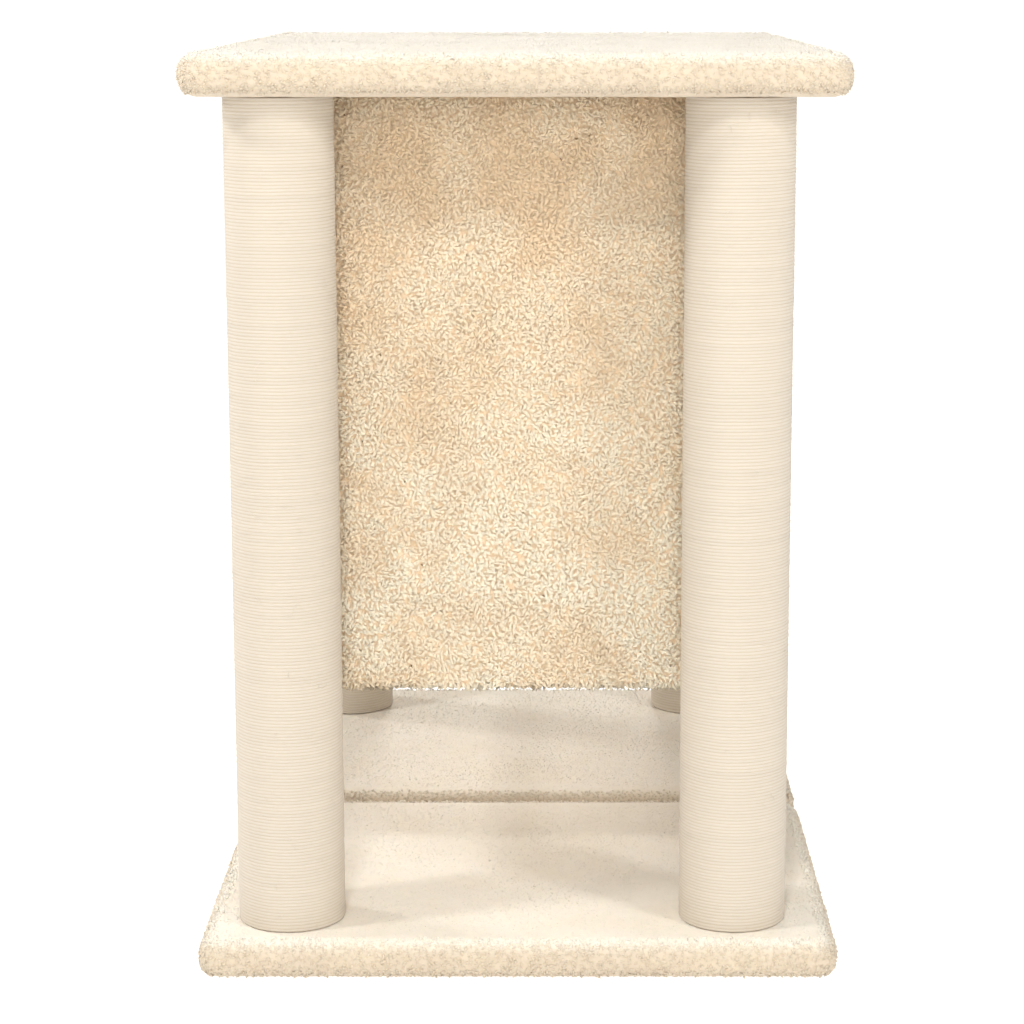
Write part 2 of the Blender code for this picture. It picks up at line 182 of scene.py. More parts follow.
def smooth_noise(points, grain, seed):
    """Values from -1 to 1 at these points that vary smoothly over about one grain."""
    turned = points @ TURN.T / grain
    low = np.floor(turned).astype(np.int64)
    part = turned - low
    part = part * part * (3 - 2 * part)
    total = np.zeros(len(points))
    for corner in itertools.product((0, 1), repeat=3):
        cell = low + corner
        mixed = cell[:, X] * 73856093 ^ cell[:, Y] * 19349663 ^ cell[:, Z] * 83492791 ^ seed * 2654435761
        mixed = (mixed ^ (mixed >> 13)) * 1274126177 & 0xFFFFFFFF
        mixed = (mixed ^ (mixed >> 16)) & 0xFFFF
        total += np.where(corner, part, 1 - part).prod(axis=1) * (mixed / 32767.5 - 1)
    return total


def lumps_at(points, grains, share, seed):
    """Soft lumps of two grains, of which the coarser has this share."""
    coarse, fine = grains
    return smooth_noise(points, coarse, seed) * share + smooth_noise(points, fine, seed + 1) * (1 - share)


def tone_of(tone, lumps):
    """A skin's tone over its lumps, from its middle tone and how far they change it. A skin that sinks
    its lower lumps into hollows comes out darker there, as painted shade.
    """
    return tone[0] + tone[1] * lumps


def turn_matrix():
    """A turn about a slanted axis, which hides the noise's grid."""
    axis = np.array((0.48, 0.62, 0.62))
    axis /= np.linalg.norm(axis)
    skew = np.array(((0, -axis[2], axis[1]), (axis[2], 0, -axis[0]), (-axis[1], axis[0], 0)))
    return np.eye(3) + math.sin(0.9) * skew + (1 - math.cos(0.9)) * skew @ skew


TURN = turn_matrix()


def unit(vectors):
    return vectors / np.maximum(np.linalg.norm(vectors, axis=-1, keepdims=True), 1e-12)


def corners(node):
    low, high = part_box(node)
    return np.array(low), np.array(high)


def column(values):
    return values[:, None]


# ---------------------------------------------------------------- meshes

def new_piece(name, points, faces, materials, replaced=(), pile=None, tint=None, of_face=None,
              normals=None):
    """A mesh piece that rides on the tree, from arrays of points and faces."""
    mesh = bpy.data.meshes.new(name)
    mesh.vertices.add(len(points))
    mesh.vertices.foreach_set("co", np.asarray(points, np.float32).ravel())
    mesh.loops.add(faces.size)
    mesh.loops.foreach_set("vertex_index", faces.astype(np.int32).ravel())
    mesh.polygons.add(len(faces))
    mesh.polygons.foreach_set("loop_start", np.arange(0, faces.size, faces.shape[1], dtype=np.int32))
    mesh.update(calc_edges=True)
    mesh.shade_smooth()
    for material in materials:
        mesh.materials.append(material)
    if of_face is not None:
        mesh.polygons.foreach_set("material_index", of_face.astype(np.int32))
    for attribute, values in (("pile", pile), ("tint", tint)):
        if values is not None:
            made = mesh.attributes.new(attribute, "FLOAT", "POINT")
            made.data.foreach_set("value", values.astype(np.float32))
    if normals is not None:
        mesh.normals_split_custom_set_from_vertices(normals)
    piece = bpy.data.objects.new(name, mesh)
    bpy.context.scene.collection.objects.link(piece)
    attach(piece, TREE)
    if replaced:
        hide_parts(*replaced)
    return piece


def closed_quads(index):
    """Quads between the neighbours in a grid of point numbers that closes on itself both ways."""
    beside, after = np.roll(index, -1, axis=1), np.roll(index, -1, axis=0)
    return np.stack((index, beside, np.roll(after, -1, axis=1), after), -1).reshape(-1, 4)


def used_only(points, faces, *others):
    """The points that the faces use, the faces renumbered, and the same rows of the other arrays."""
    kept, index = np.unique(faces, return_inverse=True)
    return points[kept], index.reshape(faces.shape), *(values[kept] for values in others)


def box_grid(size, step):
    """Points and quads of a box's surface, centred on the origin, in squares of about one step."""
    counts = [max(2, round(length / step)) for length in size]
    points, quads, start = [], [], 0
    for axis, side in itertools.product((X, Y, Z), (-1, 1)):
        u, v = (axis + 1) % 3, (axis + 2) % 3
        rows = np.linspace(-size[u] / 2, size[u] / 2, counts[u] + 1)
        columns = np.linspace(-size[v] / 2, size[v] / 2, counts[v] + 1)
        sheet = np.zeros((len(rows), len(columns), 3))
        sheet[..., u] = rows[:, None]
        sheet[..., v] = columns[None, :]
        sheet[..., axis] = side * size[axis] / 2
        index = start + np.arange(len(rows) * len(columns)).reshape(len(rows), len(columns))
        faces = np.stack((index[:-1, :-1], index[1:, :-1], index[1:, 1:], index[:-1, 1:]), -1)
        faces = faces.reshape(-1, 4)
        points.append(sheet.reshape(-1, 3))
        quads.append(faces if side > 0 else faces[:, ::-1])
        start += index.size
    points = np.concatenate(points)
    _, first, index = np.unique(np.round(points, 6), axis=0, return_index=True, return_inverse=True)
    return points[first], index.reshape(-1)[np.concatenate(quads)]


def rounded_slab(points, size, thin, corner_r, edge_r):
    """A box grid's points drawn onto a slab that is rounded at its corners in plan and along its
    edges, and the normals there. The slab lies across its thin axis."""
    plan = [axis for axis in (X, Y, Z) if axis != thin]
    half = np.array(size) / 2
    flat = points[:, plan]
    core = half[plan] - corner_r
    over = np.maximum(np.abs(flat) - core, 0)
    reach = over.max(axis=1)
    away = unit(np.sign(flat) * over)
    out = np.maximum(reach - (corner_r - edge_r), 0)
    up = np.maximum(np.abs(points[:, thin]) - (half[thin] - edge_r), 0)
    shrink = np.maximum(out, up) / np.maximum(np.hypot(out, up), 1e-12)
    moved, normals = np.zeros_like(points), np.zeros_like(points)
    side = np.sign(points[:, thin])
    radius = np.minimum(reach, corner_r - edge_r) + out * shrink
    moved[:, plan] = np.clip(flat, -core, core) + away * column(radius)
    moved[:, thin] = side * (np.minimum(np.abs(points[:, thin]), half[thin] - edge_r) + up * shrink)
    normals[:, plan] = away * column(out)
    normals[:, thin] = side * up
    return moved, unit(normals)


def tuft_shapes(roots, normals, tuft, rng, seed):
    """The points of a curling, tapering tuft on each root, and the shading normals there.

    The normals lean towards the surface's own, so that a pile shades softly."""
    count, rings = len(roots), tuft.rings
    flow = np.stack([smooth_noise(roots, tuft.flow_size, seed + 11 * axis) for axis in (X, Y, Z)], 1)
    way = flow * tuft.flow + rng.normal(size=(count, 3)) * tuft.scatter + DOWN * tuft.droop
    way = unit(way - normals * column((way * normals).sum(axis=1)))
    side = np.cross(normals, way)
    length = tuft.length * (1 + tuft.uneven * rng.uniform(-1, 1, count))
    length *= 1 + 0.5 * tuft.uneven * smooth_noise(roots, 2 * tuft.flow_size, seed + 5)
    tilt = tuft.lean * rng.uniform(*TUFT_LEANS, count)
    bend = tuft.curl * rng.uniform(*TUFT_LEANS, count) / rings
    swing = tuft.swing * rng.normal(size=count) / rings
    phase = rng.uniform(0, TAU, count)
    width = tuft.radius * rng.uniform(*TUFT_WIDTHS, count)
    centre = roots - normals * tuft.radius / 2
    shells, facing = [], []
    for ring in range(rings):
        heading = way * column(np.cos(swing * ring)) + side * column(np.sin(swing * ring))
        along = normals * column(np.cos(tilt)) + heading * column(np.sin(tilt))
        across = heading * column(np.cos(tilt)) - normals * column(np.sin(tilt))
        beside = np.cross(along, across)
        radius = column(width * (1 - TUFT_TAPER * ring * ring / rings))
        for corner in range(3):
            angle = column(phase + corner * TAU / 3)
            out = across * np.cos(angle) + beside * np.sin(angle)
            shells.append(centre + radius * out)
            facing.append(out)
        centre = centre + along * column(length / rings)
        tilt = tilt + bend
    points = np.stack([*shells, centre], axis=1)
    points[..., Z] = np.maximum(points[..., Z], cad_box[0].z)
    return points, unit(np.stack([*facing, along], axis=1) + tuft.soft * normals[:, None])


def grow(name, roots, normals, tuft, material, slot, seed, tone=1.0):
    """Closed tufts, one on each root, in as many pieces as their number needs.

    tone is what the tips reach between the pile's root colour and its tip colour, and a tuft darkens
    by its depth from there down towards its root, as painted shade deep in the pile."""
    rng = np.random.default_rng(seed)
    points, facing = tuft_shapes(roots, normals, tuft, rng, seed)
    count, size = points.shape[:2]
    up = np.append(np.repeat(np.arange(tuft.rings) / tuft.rings, 3), 1.0)
    # Painted shade: a tuft's tone drops from its tip towards its root by its depth.
    pile = column(np.broadcast_to(tone, count)) * (1 - tuft.depth * (1 - up))
    tint = rng.uniform(-1, 1, count)
    pattern = tuft_faces(tuft.rings)
    pieces = math.ceil(count * len(pattern) / MOST_TRIANGLES)
    for part, chosen in enumerate(np.array_split(np.argsort(roots[:, Z], kind="stable"), pieces)):
        start = column(np.arange(len(chosen)) * size)
        faces = (start[:, None] + pattern).reshape(-1, 3)
        label = name if pieces == 1 else f"{name}_{part + 1}"
        new_piece(label, points[chosen].reshape(-1, 3), faces, [material],
                  pile=pile[chosen].ravel(), tint=np.repeat(tint[chosen], size),
                  normals=facing[chosen].reshape(-1, 3))


def tuft_faces(rings):
    """The triangles of one tuft: three sides up its rings, a pointed tip and a closed root."""
    faces = [(2, 1, 0)]
    tip = 3 * rings
    for ring, corner in itertools.product(range(rings), range(3)):
        a, b = 3 * ring + corner, 3 * ring + (corner + 1) % 3
        if ring + 1 == rings:
            faces.append((a, b, tip))
        else:
            faces += [(a, b, b + 3), (a, b + 3, a + 3)]
    return np.array(faces)


def roots_on(points, normals, quads, seed):
    """One point somewhere inside each quad, and the normal there."""
    u, v = np.random.default_rng(seed).uniform(size=(2, len(quads), 1))
    shares = np.stack(((1 - u) * (1 - v), u * (1 - v), u * v, (1 - u) * v), axis=1)
    return (points[quads] * shares).sum(axis=1), unit((normals[quads] * shares).sum(axis=1))


# ---------------------------------------------------------------- materials

def material_nodes(name, roughness, metallic=0.0, sheen=0.0):
    material = bpy.data.materials.new(name)
    material.use_nodes = True
    nodes, links = material.node_tree.nodes, material.node_tree.links
    shader = nodes["Principled BSDF"]
    shader.inputs["Roughness"].default_value = roughness
    shader.inputs["Metallic"].default_value = metallic
    shader.inputs["Sheen Weight"].default_value = sheen
    shader.inputs["Sheen Roughness"].default_value = 0.6
    shader.inputs["Specular IOR Level"].default_value = 0.5 if metallic else 0.15
    return material, nodes, links, shader


def noise_node(nodes, links, scale, detail=2.0, stretch=(1, 1, 1), source=None, distortion=0.0):
    """Noise of that many grains a metre, on the object's own coordinates or on another source."""
    if source is None:
        source = nodes.new("ShaderNodeTexCoord").outputs["Object"]
    mapping = nodes.new("ShaderNodeMapping")
    mapping.inputs["Scale"].default_value = stretch
    texture = nodes.new("ShaderNodeTexNoise")
    texture.inputs["Scale"].default_value = scale
    texture.inputs["Detail"].default_value = detail
    texture.inputs["Distortion"].default_value = distortion
    links.new(source, mapping.inputs["Vector"])
    links.new(mapping.outputs["Vector"], texture.inputs["Vector"])
    return texture.outputs["Fac"]


def ramp_node(nodes, links, value, low, high, start=0.0, end=1.0):
    """The value from one level to another, stretched onto a new range."""
    mapped = nodes.new("ShaderNodeMapRange")
    mapped.interpolation_type = "SMOOTHSTEP"
    for socket, number in zip(("From Min", "From Max", "To Min", "To Max"), (low, high, start, end)):
        mapped.inputs[socket].default_value = number
    links.new(value, mapped.inputs["Value"])
    return mapped.outputs["Result"]


def mix_node(nodes, links, factor, first, second):
    """A blend of two colours, each a tuple or a socket."""
    mix = nodes.new("ShaderNodeMix")
    mix.data_type = "RGBA"
    links.new(factor, mix.inputs["Factor"])
    for socket, colour in (("A", first), ("B", second)):
        target = next(s for s in mix.inputs if s.name == socket and s.type == "RGBA")
        if isinstance(colour, tuple):
            target.default_value = (*colour, 1)
        else:
            links.new(colour, target)
    return next(s for s in mix.outputs if s.type == "RGBA")


def scaled_node(nodes, links, value, factor, added):
    """The value times a factor, plus a number."""
    scaled = nodes.new("ShaderNodeMath")
    scaled.operation = "MULTIPLY_ADD"
    links.new(value, scaled.inputs[0])
    scaled.inputs[1].default_value = factor
    scaled.inputs[2].default_value = added
    return scaled.outputs["Value"]


def brightness_node(nodes, links, value, spread, colour):
    """The colour made up to one spread lighter or darker by a value from -1 to 1."""
    shade = nodes.new("ShaderNodeHueSaturation")
    links.new(scaled_node(nodes, links, value, spread, 1.0), shade.inputs["Value"])
    links.new(colour, shade.inputs["Color"])
    return shade.outputs["Color"]


def attribute_node(nodes, name):
    node = nodes.new("ShaderNodeAttribute")
    node.attribute_name = name
    return node.outputs["Fac"]


def bump_node(nodes, links, shader, height, distance, strength=1.0):
    bump = nodes.new("ShaderNodeBump")
    bump.inputs["Distance"].default_value = distance
    bump.inputs["Strength"].default_value = strength
    links.new(height, bump.inputs["Height"])
    links.new(bump.outputs["Normal"], shader.inputs["Normal"])


def pile_material(name, root, tip, patch, patch_size, patchy, fibre_size, bump, spread, sheen, rise=0.0):
    """Plush: darker at the roots of its pile, as painted shade deep in it, with soft patches of a second
    tone and fine fibres.

    rise is how far the patch colour takes over towards the top of the cave, as painted shade under the
    top plate."""
    material, nodes, links, shader = material_nodes(name, 0.9, sheen=sheen)
    shader.inputs["Subsurface Weight"].default_value = 0.1
    shader.inputs["Subsurface Radius"].default_value = (1.0, 0.55, 0.28)
    shader.inputs["Subsurface Scale"].default_value = 0.004
    height = ramp_node(nodes, links, attribute_node(nodes, "pile"), 0.0, 0.75)
    body = mix_node(nodes, links, height, root, tip)
    cloud = noise_node(nodes, links, 1 / patch_size, 3.0, distortion=0.6)
    patched = ramp_node(nodes, links, cloud, 0.38, 0.75, 0.0, patchy)
    # Painted shade under the top plate: higher up the cave, the patch colour takes over.
    if rise:
        place = nodes.new("ShaderNodeSeparateXYZ")
        links.new(nodes.new("ShaderNodeTexCoord").outputs["Object"], place.inputs["Vector"])
        higher = nodes.new("ShaderNodeMath")
        higher.operation = "ADD"
        higher.use_clamp = True
        risen = ramp_node(nodes, links, place.outputs["Z"], CAVE_LOW, CAVE_HIGH, 0.0, rise)
        links.new(risen, higher.inputs[0])
        links.new(patched, higher.inputs[1])
        patched = higher.outputs["Value"]
    body = mix_node(nodes, links, patched, body, patch)
    body = brightness_node(nodes, links, attribute_node(nodes, "tint"), spread, body)
    fibre = noise_node(nodes, links, 1 / fibre_size, 3.0)
    body = brightness_node(nodes, links, scaled_node(nodes, links, fibre, 2.0, -1.0), spread, body)
    links.new(body, shader.inputs["Base Color"])
    bump_node(nodes, links, shader, fibre, bump)
    return material


def sisal_material():
    """Thin pale cord: grooves darker as painted shade, a tint that changes from turn to turn, and fibres
    along it.
    """
    material, nodes, links, shader = material_nodes("sisal", 0.8, sheen=0.1)
    groove = ramp_node(nodes, links, attribute_node(nodes, "pile"), 0.0, 0.8)
    # Painted shade: rows in a groove take the darker colour.
    body = mix_node(nodes, links, groove, (0.48, 0.40, 0.30), (0.555, 0.50, 0.425))
    body = brightness_node(nodes, links, attribute_node(nodes, "tint"), 0.02, body)
    along = nodes.new("ShaderNodeUVMap")
    along.uv_map = "winding"
    fibre = noise_node(nodes, links, 1.0, 3.0, (250, 3200, 1), along.outputs["UV"])
    fibrous = ramp_node(nodes, links, fibre, 0.35, 0.75, 0.0, 0.35)
    body = mix_node(nodes, links, fibrous, body, (0.51, 0.43, 0.32))
    links.new(body, shader.inputs["Base Color"])
    bump_node(nodes, links, shader, fibre, 0.0002)
    return material


def chipboard_material():
    """Flat chips of many browns, with pale dust between them."""
    material, nodes, links, shader = material_nodes("chipboard", 0.75)
    source = nodes.new("ShaderNodeTexCoord").outputs["Object"]
    chips = nodes.new("ShaderNodeTexVoronoi")
    chips.inputs["Scale"].default_value = 260
    links.new(source, chips.inputs["Vector"])
    tone = nodes.new("ShaderNodeSeparateColor")
    links.new(chips.outputs["Color"], tone.inputs["Color"])
    body = mix_node(nodes, links, tone.outputs["Red"], (0.36, 0.24, 0.13), (0.62, 0.47, 0.30))
    dust = noise_node(nodes, links, 1500, 2.0)
    dusty = ramp_node(nodes, links, dust, 0.4, 0.7, 0.0, 0.5)
    body = mix_node(nodes, links, dusty, body, (0.70, 0.56, 0.38))
    links.new(body, shader.inputs["Base Color"])
    bump_node(nodes, links, shader, chips.outputs["Distance"], 0.0004)
    return material


def cardboard_material():
    """Grey-brown board with fibres along the tube."""
    material, nodes, links, shader = material_nodes("cardboard", 0.85)
    fibre = noise_node(nodes, links, 900, 4.0, (1, 1, 0.35))
    fibrous = ramp_node(nodes, links, fibre, 0.3, 0.7)
    body = mix_node(nodes, links, fibrous, (0.33, 0.22, 0.13), (0.47, 0.34, 0.21))
    links.new(body, shader.inputs["Base Color"])
    bump_node(nodes, links, shader, fibre, 0.0002)
    return material


def plug_wood_material():
    """Softwood: growth rings drawn out along the grain, with fine pores."""
    material, nodes, links, shader = material_nodes("plug_wood", 0.6)
    rings = nodes.new("ShaderNodeTexWave")
    rings.inputs["Scale"].default_value = 90
    rings.inputs["Distortion"].default_value = 3.0
    rings.inputs["Detail"].default_value = 2.0
    links.new(nodes.new("ShaderNodeTexCoord").outputs["Object"], rings.inputs["Vector"])
    body = mix_node(nodes, links, rings.outputs["Fac"], (0.66, 0.48, 0.28), (0.50, 0.32, 0.16))
    pores = noise_node(nodes, links, 1200, 2.0, (0.15, 1, 1))
    porous = ramp_node(nodes, links, pores, 0.5, 0.8, 0.0, 0.4)
    body = mix_node(nodes, links, porous, body, (0.36, 0.22, 0.11))
    links.new(body, shader.inputs["Base Color"])
    bump_node(nodes, links, shader, pores, 0.0002)
    return material


def steel_material():
    """Zinc plate: pale grey metal with a faint spangle and handling marks in its gloss."""
    material, nodes, links, shader = material_nodes("zinc_steel", 0.35, metallic=1.0)
    cloud = noise_node(nodes, links, 220, 3.0)
    spangle = ramp_node(nodes, links, cloud, 0.3, 0.7)
    body = mix_node(nodes, links, spangle, (0.56, 0.57, 0.58), (0.72, 0.71, 0.68))
    links.new(body, shader.inputs["Base Color"])
    marks = noise_node(nodes, links, 700, 3.0, (1, 0.2, 1))
    links.new(ramp_node(nodes, links, marks, 0.3, 0.7, 0.26, 0.46), shader.inputs["Roughness"])
    bump_node(nodes, links, shader, marks, 0.00005)
    return material


# The root colours paint shade deep in the pile.
SHORT_PLUSH = pile_material(
    "short_plush", root=(0.52, 0.415, 0.295), tip=(0.81, 0.75, 0.645), patch=(0.74, 0.63, 0.47),
    patch_size=0.045, patchy=0.2, fibre_size=0.0011, bump=0.0001, spread=0.02, sheen=0.15)
# The long plush's rise paints shade under the top plate.
LONG_PLUSH = pile_material(
    "long_plush", root=(0.76, 0.48, 0.26), tip=(0.79, 0.705, 0.545), patch=(0.70, 0.53, 0.35),
    patch_size=0.055, patchy=0.7, fibre_size=0.0016, bump=0.0002, spread=0.06, sheen=0.03, rise=0.55)
SISAL = sisal_material()
CHIPBOARD = chipboard_material()


# ---------------------------------------------------------------- plates

def plate_skin(node, seam_side=0):
    """A plate's cover: the upper side, the bullnosed rim and the part folded under it.

    seam_side is the side, along Y, on which a base board meets the other."""
    low, high = corners(node)
    size, middle = high - low, (high + low) / 2
    points, quads = box_grid(size, PLATE_STEP)
    points, normals = rounded_slab(points, size, Z, PLATE_CORNER_R, PLATE_EDGE_R)
    inside = (np.abs(points[:, :2]) < size[:2] / 2 - FOLDED_RIM).all(axis=1) & (points[:, Z] < 0)
    points[inside, Z] += PLUSH_T
    quads = quads[~inside[quads].all(axis=1)]
    if seam_side:
        points, normals = seam_shoulder(points, normals, size[Y], seam_side)
    points += middle
    quads = quads[clear_of_strips(points[quads].mean(axis=1))]
    lumps = lumps_at(points, PLATE_GRAINS, 0.5, 3)
    sunk = PLATE_LUMP * (1 - lumps) / 2
    points -= normals * column(sunk)
    points, quads, normals, lumps = used_only(points, quads, normals, lumps)
    seam = middle[Y] + seam_side * size[Y] / 2 if seam_side else None
    # The pile's tone paints light on the plate's flats and shade over its rims and in the seam; the nap
    # takes the same.
    tone = plate_painted_light(points, normals, seam) * tone_of(PLATE_TONE, lumps)
    new_piece(f"{node}_skin", points, quads, [SHORT_PLUSH], [node],
              pile=tone, tint=smooth_noise(points, SHORT_TINT_GRAIN, 6))
    facing = unit(normals[quads].sum(axis=1))[:, Z]
    rim = quads[(facing > PRESSED_TILT) & (facing < RIM_TILT)]
    top = quads[facing >= RIM_TILT]
    seed = 100 + len(node)
    roots, out = roots_on(points, normals, rim, seed)
    grow(f"{node}_rim_nap", roots, out, RIM_NAP, SHORT_PLUSH, "short_plush", seed,
         plate_painted_light(roots, out, seam))
    roots, out = clear_of_posts(*roots_on(points, normals, top, seed + 1))
    grow(f"{node}_nap", roots, out, SHORT_NAP, SHORT_PLUSH, "short_plush", seed + 1,
         plate_painted_light(roots, out, seam))


def plate_painted_light(points, normals, seam):
    """The tone of the pile's tips: lighter on faces that look up and deeper over a rim, as painted light
    on the flats and painted shade on the rims, and deeper still, as painted shade, down in the seam,
    which is at this Y if there is one."""
    # Painted light and shade: the tone rises with how far the normal looks up.
    flat = (np.clip(normals[:, Z], 0, RIM_TILT) / RIM_TILT) ** 3
    if seam is not None:
        # Painted shade down in the seam.
        flat *= np.clip(np.abs(points[:, Y] - seam) / SEAM_SHOULDER - SEAM_PAINTED_SHADE, 0, 1)
    return RIM_PAINTED_SHADE + (1 - RIM_PAINTED_SHADE) * flat


def clear_of_strips(centres):
    """Which of these places are not over a steel strip, where the folded cover is notched."""
    kept = np.ones(len(centres), bool)
    for side in ("left", "right"):
        low, high = corners(f"base_strip_{side}")
        beside = np.abs(centres - (low + high) / 2) > (high - low) / 2 + (NOTCH_ROOM, NOTCH_ROOM, PLUSH_T)
        kept &= beside.any(axis=1)
    return kept


def seam_shoulder(points, normals, length, side):
    """Draws the bullnose on the seam's side out into a longer, flatter shoulder."""
    points, normals = points.copy(), normals.copy()
    away = length / 2 - side * points[:, Y]
    near = away < PLATE_EDGE_R
    drawn = np.where(near, away * SEAM_SHOULDER / PLATE_EDGE_R,
                     length - (length - away) * (length - SEAM_SHOULDER) / (length - PLATE_EDGE_R))
    points[:, Y] = side * (length / 2 - drawn)
    normals[near, Y] *= PLATE_EDGE_R / SEAM_SHOULDER
    return points, unit(normals)


def seam_core(end, side):
    """A base board as the shoulders of the seam leave it: shorter there, and otherwise the CAD's own."""
    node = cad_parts[f"base_board_{end}"]
    low, high = corners(f"base_plush_{end}")
    seam = high[Y] if side > 0 else low[Y]
    cut = bmesh.new()
    cut.from_mesh(node.data)
    found = bmesh.ops.bisect_plane(cut, geom=[*cut.verts, *cut.edges, *cut.faces], clear_outer=True,
                                   plane_co=(0, seam - side * SEAM_CORE_CUT, 0), plane_no=(0, side, 0))
    edges = [part for part in found["geom_cut"] if isinstance(part, bmesh.types.BMEdge)]
    bmesh.ops.holes_fill(cut, edges=edges, sides=0)
    mesh = bpy.data.meshes.new(f"base_core_{end}")
    cut.to_mesh(mesh)
    cut.free()
    mesh.materials.clear()
    mesh.materials.append(CHIPBOARD)
    piece = bpy.data.objects.new(mesh.name, mesh)
    bpy.context.scene.collection.objects.link(piece)
    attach(piece, TREE)
    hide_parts(node.name)


def clear_of_posts(roots, normals):
    """Leaves out the roots that a post stands on."""
    kept = np.ones(len(roots), bool)
    for place in POST_PLACES:
        low, high = corners(f"post_sisal_{place}")
        axis, radius = (low + high) / 2, (high[X] - low[X]) / 2
        elsewhere = (roots[:, Z] > low[Z]) | (np.abs(roots[:, Z] - low[Z]) > PLUSH_T)
        kept &= elsewhere | (np.hypot(*(roots - axis)[:, :2].T) > radius + POST_ROOM)
    return roots[kept], normals[kept]


def lining():
    """The sheet under the top plate."""
    node = "top_underside_lining"
    low, high = corners(node)
    size = high - low
    points, quads = box_grid(size, LINING_STEP)
    points, normals = rounded_slab(points, size, Z, LINING_CORNER_R, LINING_EDGE_R)
    points += (high + low) / 2
    lumps = smooth_noise(points, LINING_GRAIN, 8)
    points -= normals * column(LINING_LUMP * (1 - lumps) / 2)
    new_piece("top_lining", points, quads, [SHORT_PLUSH], [node],
              pile=tone_of(LINING_TONE, lumps), tint=smooth_noise(points, SHORT_TINT_GRAIN, 9))


# ---------------------------------------------------------------- cave

def wall(name, thin, outward, step, trimmed, seed, doorway=False):
    """A board's sock: long plush on the side that looks out and on the open edges, lining inside.

    trimmed lists the (axis, side) faces, besides the outer one, that also carry fur."""
    node = f"cave_{name}_cover"
    low, high = corners(node)
    furry = [(thin, outward), *trimmed]
    for axis, side in furry:
        if side < 0:
            low[axis] += FUR_T
        else:
            high[axis] -= FUR_T
    size, middle = high - low, (high + low) / 2
    points, quads = box_grid(size, step)
    points, normals = rounded_slab(points, size, thin, WALL_CORNER_R, WALL_EDGE_R)
    points += middle
    lumps = lumps_at(points, WALL_GRAINS, 0.6, seed)
    points -= normals * column(WALL_LUMP * (1 - lumps) / 2)
    centres = points[quads].mean(axis=1)
    if doorway:
        open_r = np.hypot(centres[:, Y], centres[:, Z] - DOORWAY_Z)
        quads = quads[open_r > DOORWAY_R + (COLLAR_IN + COLLAR_OUT) / 2]
    points, quads, normals, lumps = used_only(points, quads, normals, lumps)
    facing = unit(normals[quads].sum(axis=1))
    outside = np.zeros(len(quads), bool)
    for axis, side in furry:
        outside |= facing[:, axis] * side > FURRY_TILT
    # The skin's low tone is painted shade where it shows between the tufts.
    new_piece(f"cave_{name}_skin", points, quads, [SHORT_PLUSH, LONG_PLUSH], [node],
              pile=tone_of(WALL_TONE, lumps), tint=smooth_noise(points, LONG_TINT_GRAIN, seed + 2),
              of_face=outside)
    grow(f"cave_{name}_fur", *roots_on(points, normals, quads[outside], seed), CURLY_FUR,
         LONG_PLUSH, "long_plush", seed)


def collar(name, outward, seed):
    """The long-plush ring round a doorway, a rounded band turned about the X axis."""
    low, high = corners(f"cave_{name}_wall_cover")
    if outward < 0:
        near, far = low[X] + FUR_T - COLLAR_PROUD, high[X] + COLLAR_LAP
    else:
        near, far = low[X] - COLLAR_LAP, high[X] - FUR_T + COLLAR_PROUD
    half_x, half_r = (far - near) / 2, (COLLAR_OUT - COLLAR_IN) / 2
    angle = TAU * np.arange(COLLAR_SIDES) / COLLAR_SIDES
    square_x, square_r = (np.sign(wave) * np.abs(wave) ** COLLAR_SQUARE
                          for wave in (np.cos(angle), np.sin(angle)))
    profile_x = (near + far) / 2 + half_x * square_x
    profile_r = DOORWAY_R + (COLLAR_IN + COLLAR_OUT) / 2 + half_r * square_r
    turn = TAU * np.arange(COLLAR_STEPS) / COLLAR_STEPS
    points = np.empty((COLLAR_STEPS, len(angle), 3))
    points[..., X] = profile_x
    points[..., Y] = profile_r * np.cos(turn)[:, None]
    points[..., Z] = DOORWAY_Z + profile_r * np.sin(turn)[:, None]
    normals = np.empty_like(points)
    normals[..., X] = np.cos(angle)
    normals[..., Y] = np.sin(angle) * np.cos(turn)[:, None]
    normals[..., Z] = np.sin(angle) * np.sin(turn)[:, None]
    index = np.arange(points[..., X].size).reshape(COLLAR_STEPS, len(angle))
    quads = closed_quads(index)
    points, normals = points.reshape(-1, 3), normals.reshape(-1, 3)
    lumps = smooth_noise(points, COLLAR_GRAIN, seed)
    # The collar's skin takes the same low tone, as painted shade between its tufts.
    new_piece(f"cave_{name}_collar", points, quads, [LONG_PLUSH],
              pile=tone_of(WALL_TONE, lumps), tint=smooth_noise(points, LONG_TINT_GRAIN, seed + 1))
    facing = unit(normals[quads].sum(axis=1))
    radial = (facing * unit(points[quads].mean(axis=1) - (0, 0, DOORWAY_Z)) * (0, 1, 1)).sum(axis=1)
    chosen = quads[(facing[:, X] * outward > COLLAR_TILT) | (radial < -COLLAR_TILT)]
    grow(f"cave_{name}_collar_fur", *roots_on(points, normals, chosen[::2], seed), COLLAR_FUR,
         LONG_PLUSH, "long_plush", seed)


def cave():
    edges = [(X, -1), (X, 1), (Z, -1)]
    wall("front_wall", Y, -1, FRONT_STEP, edges, 210)
    wall("rear_wall", Y, 1, WALL_STEP, edges, 220)
    wall("left_wall", X, -1, WALL_STEP, [(Z, -1)], 230, doorway=True)
    wall("right_wall", X, 1, WALL_STEP, [(Z, -1)], 240, doorway=True)
    wall("floor", Z, -1, CAVE_FLOOR_STEP, [], 250)
    collar("left", -1, 260)
    collar("right", 1, 270)


# ---------------------------------------------------------------- posts

